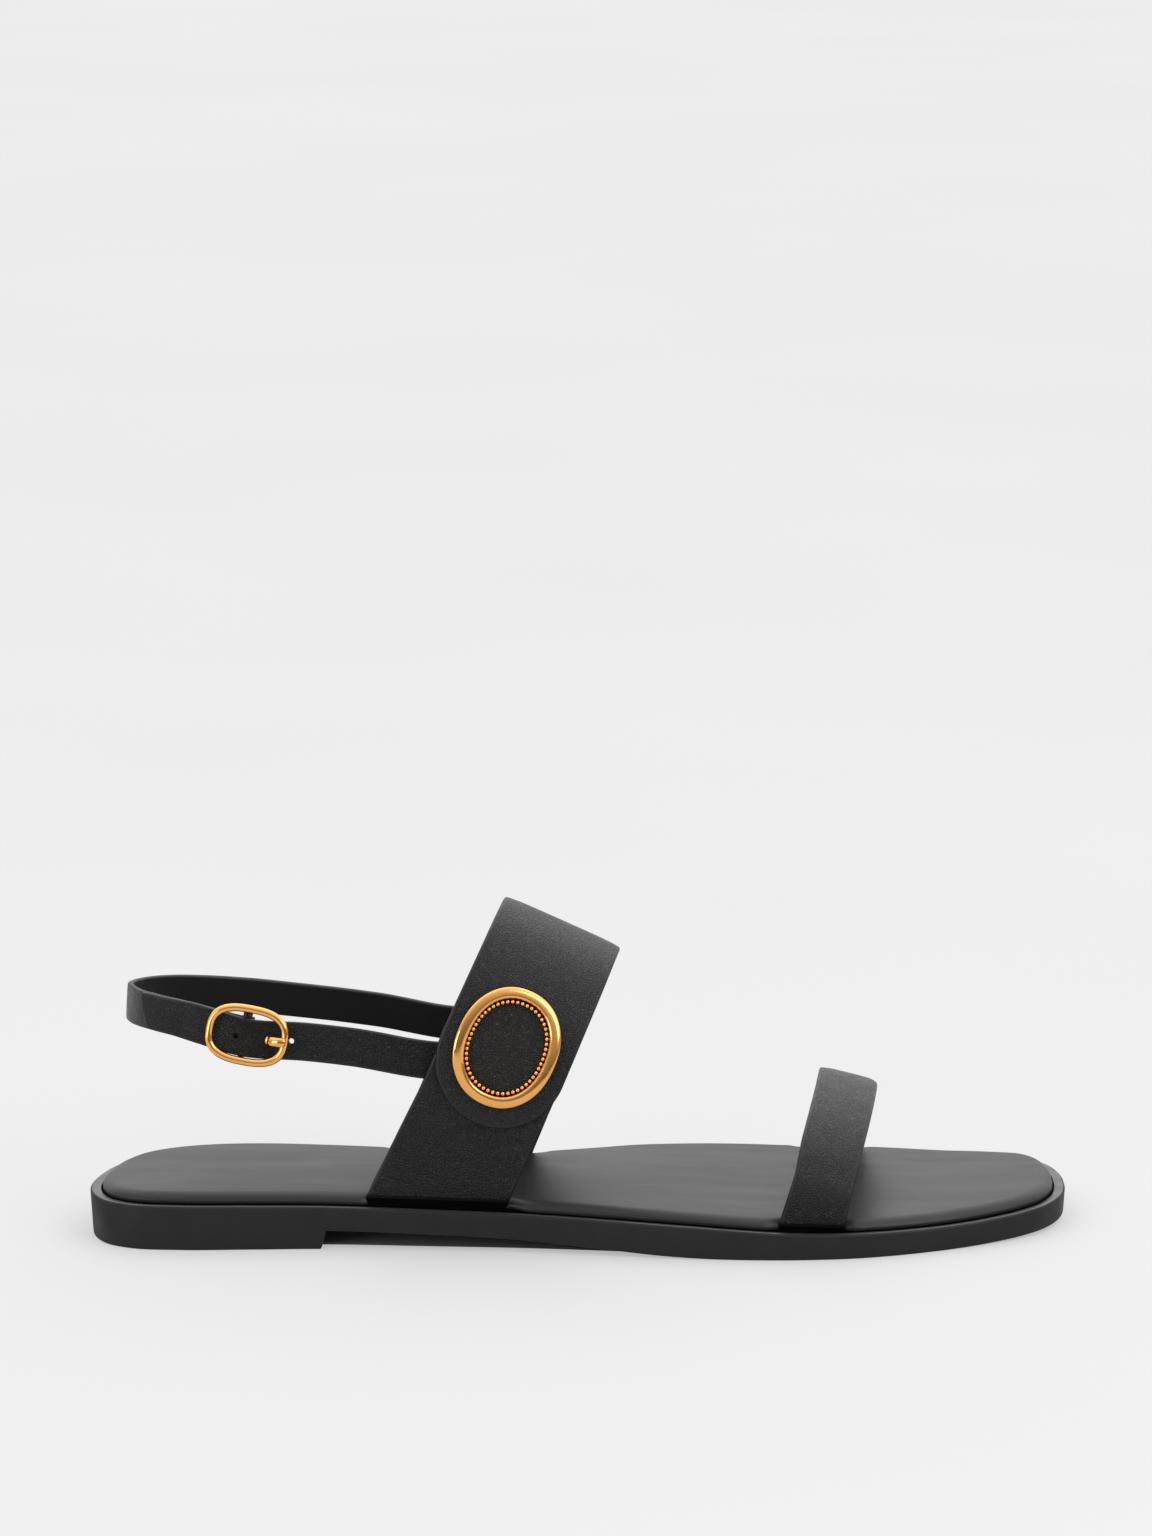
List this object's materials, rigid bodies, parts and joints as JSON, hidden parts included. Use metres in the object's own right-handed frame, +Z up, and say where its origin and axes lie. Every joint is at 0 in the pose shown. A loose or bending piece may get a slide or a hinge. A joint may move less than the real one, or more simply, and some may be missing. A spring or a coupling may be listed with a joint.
{
  "type": "slingback sandal",
  "caption": "Flat right slingback sandal with a broad instep strap, a narrow toe strap, a buckled heel sling and a padded footbed.",
  "frame": {"origin": "on the floor under the middle of the heel", "axes": "+X to the toe, +Y to the medial side, +Z up"},
  "size_m": [0.251, 0.0819, 0.0844],
  "materials": {
    "sole_rubber": "matt black moulded sole with a painted edge",
    "footbed_leather": "smooth black padded footbed cover with a soft sheen",
    "strap_leather": "finely pebbled black leather, semi-matt",
    "gold_metal": "polished warm gold plating"
  },
  "bodies": {
    "root": {"outsole": "sole_rubber", "insole": "footbed_leather", "upper": "strap_leather", "toe_strap": "strap_leather", "buckle_frame": "gold_metal", "buckle_prong": "gold_metal", "ornament": "gold_metal"}
  },
  "joints": []
}
